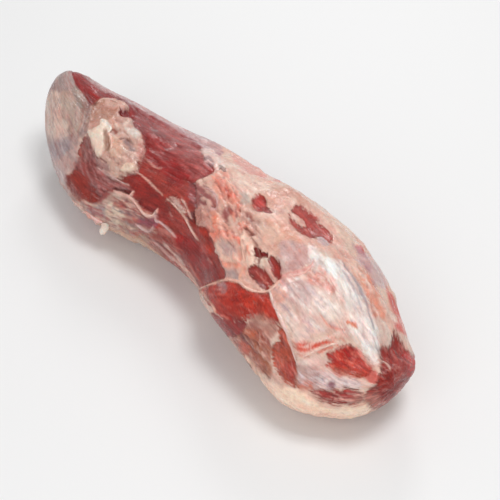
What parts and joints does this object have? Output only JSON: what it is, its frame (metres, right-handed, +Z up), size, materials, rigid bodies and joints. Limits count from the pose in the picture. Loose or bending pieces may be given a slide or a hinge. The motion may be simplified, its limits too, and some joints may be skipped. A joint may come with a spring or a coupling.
{
  "type": "raw beef eye of round",
  "caption": "Whole raw beef eye of round: one long tapering boneless muscle with silverskin, fat cover, bared lean and a hanging scrap of fat, lying down.",
  "frame": {"origin": "middle of the part's box in X and Y, on the plane that the meat rests on", "axes": "+X along the muscle from its narrow silvery end to its thick end, +Y across to the side away from the hanging scrap of fat, +Z up"},
  "size_m": [0.361, 0.1154, 0.0847],
  "materials": {
    "raw_beef": "wet raw lean, fat and silverskin"
  },
  "bodies": {
    "root": {"eye_of_round": "raw_beef"}
  },
  "joints": []
}
